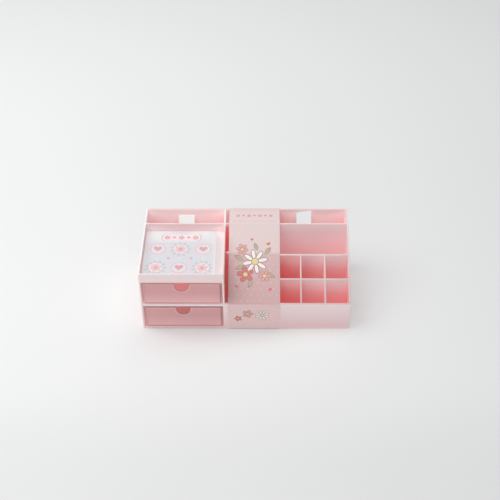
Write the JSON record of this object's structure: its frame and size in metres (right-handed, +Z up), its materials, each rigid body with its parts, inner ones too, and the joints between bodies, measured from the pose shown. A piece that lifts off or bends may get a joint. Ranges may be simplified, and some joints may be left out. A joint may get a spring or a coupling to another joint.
{
  "type": "desktop drawer organizer",
  "caption": "Pink plastic desk organizer with clear pull-out drawers under a phone tray, pen bays behind, and a sloped unit with a well and a divider grid.",
  "frame": {"origin": "on the surface it stands on, under the middle of the organizer", "axes": "+X to the right along the long side, +Y to the back, +Z up; the drawers open towards -Y"},
  "size_m": [0.26, 0.1256, 0.095],
  "materials": {
    "pink_plastic": "pale pink moulded plastic, satin",
    "clear_plastic": "clear moulded plastic",
    "foot_rubber": "soft grey pad",
    "sleeve_card": "printed coated card",
    "sheet_paper": "white release paper",
    "sticker_print": "printed sticker paper",
    "white_card": "plain white card"
  },
  "bodies": {
    "organizer": {"housing": "pink_plastic", "phone_tray": "pink_plastic", "drawer_shelf": "pink_plastic", "divider_insert": "pink_plastic", "foot_front_left": "foot_rubber", "foot_front_right": "foot_rubber", "foot_rear_left": "foot_rubber", "foot_rear_right": "foot_rubber"},
    "upper_drawer": {"upper_drawer": "clear_plastic"},
    "lower_drawer": {"lower_drawer": "clear_plastic"},
    "sleeve": {"sleeve": "sleeve_card"},
    "sticker_sheet": {"sticker_sheet": "sheet_paper", "stickers": "sticker_print"},
    "rear_card_left": {"rear_card_left": "white_card"},
    "rear_card_right": {"rear_card_right": "white_card"}
  },
  "joints": [
    {"name": "upper_drawer_slide", "type": "slide", "parent": "organizer", "child": "upper_drawer", "axis": [0, -1, 0], "range_m": [0, 0.068]},
    {"name": "lower_drawer_slide", "type": "slide", "parent": "organizer", "child": "lower_drawer", "axis": [0, -1, 0], "range_m": [0, 0.068]},
    {"name": "sleeve_lift", "type": "slide", "parent": "organizer", "child": "sleeve", "axis": [0, 0, 1], "range_m": [0, 0.1]},
    {"name": "sticker_sheet_lift", "type": "slide", "parent": "organizer", "child": "sticker_sheet", "axis": [0, 0, 1], "range_m": [0, 0.03]},
    {"name": "rear_card_left_lift", "type": "slide", "parent": "organizer", "child": "rear_card_left", "axis": [0, 0, 1], "range_m": [0, 0.095]},
    {"name": "rear_card_right_lift", "type": "slide", "parent": "organizer", "child": "rear_card_right", "axis": [0, 0, 1], "range_m": [0, 0.095]}
  ]
}
